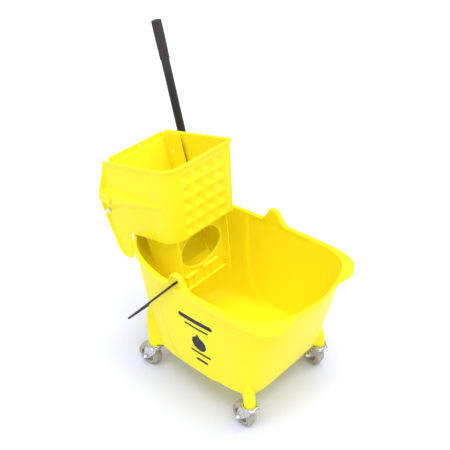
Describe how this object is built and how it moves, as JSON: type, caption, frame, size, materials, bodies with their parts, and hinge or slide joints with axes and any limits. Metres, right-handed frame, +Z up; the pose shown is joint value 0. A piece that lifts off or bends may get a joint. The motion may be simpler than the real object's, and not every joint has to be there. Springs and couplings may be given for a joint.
{
  "type": "mop bucket with side-press wringer",
  "caption": "Wheeled mop bucket with a pouring lip, wire bail and a hook-on side-press wringer whose lever slides a press plate through cam arms.",
  "frame": {"origin": "on the floor, under the middle of the outline of the whole object at rest", "axes": "+X towards the pouring end, +Y towards the side with the lever, +Z up"},
  "size_m": [0.7252, 0.4204, 0.9765],
  "materials": {
    "yellow_plastic": "satin moulded polypropylene",
    "black_mark": "printed film",
    "black_wire": "black coated wire",
    "zinc_steel": "zinc plated sheet",
    "bright_steel": "bright turned steel",
    "cam_steel": "dark coated plate",
    "wheel_plastic": "grey-beige moulded wheel",
    "pale_plastic": "natural nylon",
    "black_paint": "black powder coat",
    "grip_rubber": "soft rubber"
  },
  "bodies": {
    "bucket": {"bucket_shell": "yellow_plastic", "bucket_base": "yellow_plastic", "ear_right": "yellow_plastic", "ear_left": "yellow_plastic", "side_mark": "black_mark", "stem_fr": "zinc_steel", "stem_fl": "zinc_steel", "stem_rr": "zinc_steel", "stem_rl": "zinc_steel"},
    "bail": {"bail_wire": "black_wire"},
    "swivel_fr": {"fork_fr": "zinc_steel", "axle_fr": "bright_steel"},
    "roller_fr": {"wheel_fr": "wheel_plastic"},
    "swivel_fl": {"fork_fl": "zinc_steel", "axle_fl": "bright_steel"},
    "roller_fl": {"wheel_fl": "wheel_plastic"},
    "swivel_rr": {"fork_rr": "zinc_steel", "axle_rr": "bright_steel"},
    "roller_rr": {"wheel_rr": "wheel_plastic"},
    "swivel_rl": {"fork_rl": "zinc_steel", "axle_rl": "bright_steel"},
    "roller_rl": {"wheel_rl": "wheel_plastic"},
    "wringer": {"wringer_basket": "yellow_plastic", "basket_floor": "yellow_plastic", "drain_chute": "yellow_plastic", "bush_right": "pale_plastic", "bush_left": "pale_plastic", "bearing_cap": "yellow_plastic", "tie_rod": "bright_steel", "tie_nut_right": "bright_steel", "tie_nut_left": "bright_steel"},
    "press": {"press_plate": "yellow_plastic", "press_wing_right": "yellow_plastic", "press_wing_left": "yellow_plastic", "return_pin_right": "bright_steel", "return_pin_left": "bright_steel"},
    "lever": {"pivot_shaft": "bright_steel", "cam_right": "cam_steel", "cam_left": "cam_steel", "lever_socket": "black_paint", "lever_tube": "black_paint", "lever_bolt": "bright_steel", "lever_grip": "grip_rubber"}
  },
  "joints": [
    {"name": "swivel_fr", "type": "hinge", "parent": "bucket", "child": "swivel_fr", "pos_m": [0.23154, -0.156, 0.08], "axis": [0, 0, 1], "continuous": true},
    {"name": "spin_fr", "type": "hinge", "parent": "swivel_fr", "child": "roller_fr", "pos_m": [0.20469, -0.15318, 0.038], "axis": [0.1045, 0.9945, 0], "continuous": true},
    {"name": "swivel_fl", "type": "hinge", "parent": "bucket", "child": "swivel_fl", "pos_m": [0.23154, 0.156, 0.08], "axis": [0, 0, 1], "continuous": true},
    {"name": "spin_fl", "type": "hinge", "parent": "swivel_fl", "child": "roller_fl", "pos_m": [0.20469, 0.15882, 0.038], "axis": [0.1045, 0.9945, 0], "continuous": true},
    {"name": "swivel_rr", "type": "hinge", "parent": "bucket", "child": "swivel_rr", "pos_m": [-0.16046, -0.156, 0.08], "axis": [0, 0, 1], "continuous": true},
    {"name": "spin_rr", "type": "hinge", "parent": "swivel_rr", "child": "roller_rr", "pos_m": [-0.18731, -0.15882, 0.038], "axis": [-0.1045, 0.9945, 0], "continuous": true},
    {"name": "swivel_rl", "type": "hinge", "parent": "bucket", "child": "swivel_rl", "pos_m": [-0.16046, 0.156, 0.08], "axis": [0, 0, 1], "continuous": true},
    {"name": "spin_rl", "type": "hinge", "parent": "swivel_rl", "child": "roller_rl", "pos_m": [-0.18744, 0.15694, 0.038], "axis": [0.0349, 0.9994, 0], "continuous": true},
    {"name": "bail_swing", "type": "hinge", "parent": "bucket", "child": "bail", "pos_m": [0.04054, 0, 0.45], "axis": [0, 1, 0], "range_deg": [0, 29]},
    {"name": "wringer_lift", "type": "slide", "parent": "bucket", "child": "wringer", "axis": [0, 0, 1], "range_m": [0, 0.25]},
    {"name": "lever_turn", "type": "hinge", "parent": "wringer", "child": "lever", "pos_m": [-0.30464, 0, 0.5487], "axis": [0, 1, 0], "range_deg": [0, 95]},
    {"name": "press_slide", "type": "slide", "parent": "wringer", "child": "press", "axis": [0.9826, 0, 0.1857], "range_m": [0, 0.0585]}
  ],
  "couplings": [
    {"joint": "press_slide", "follows": "lever_turn", "m_per_rad": 0.035}
  ]
}
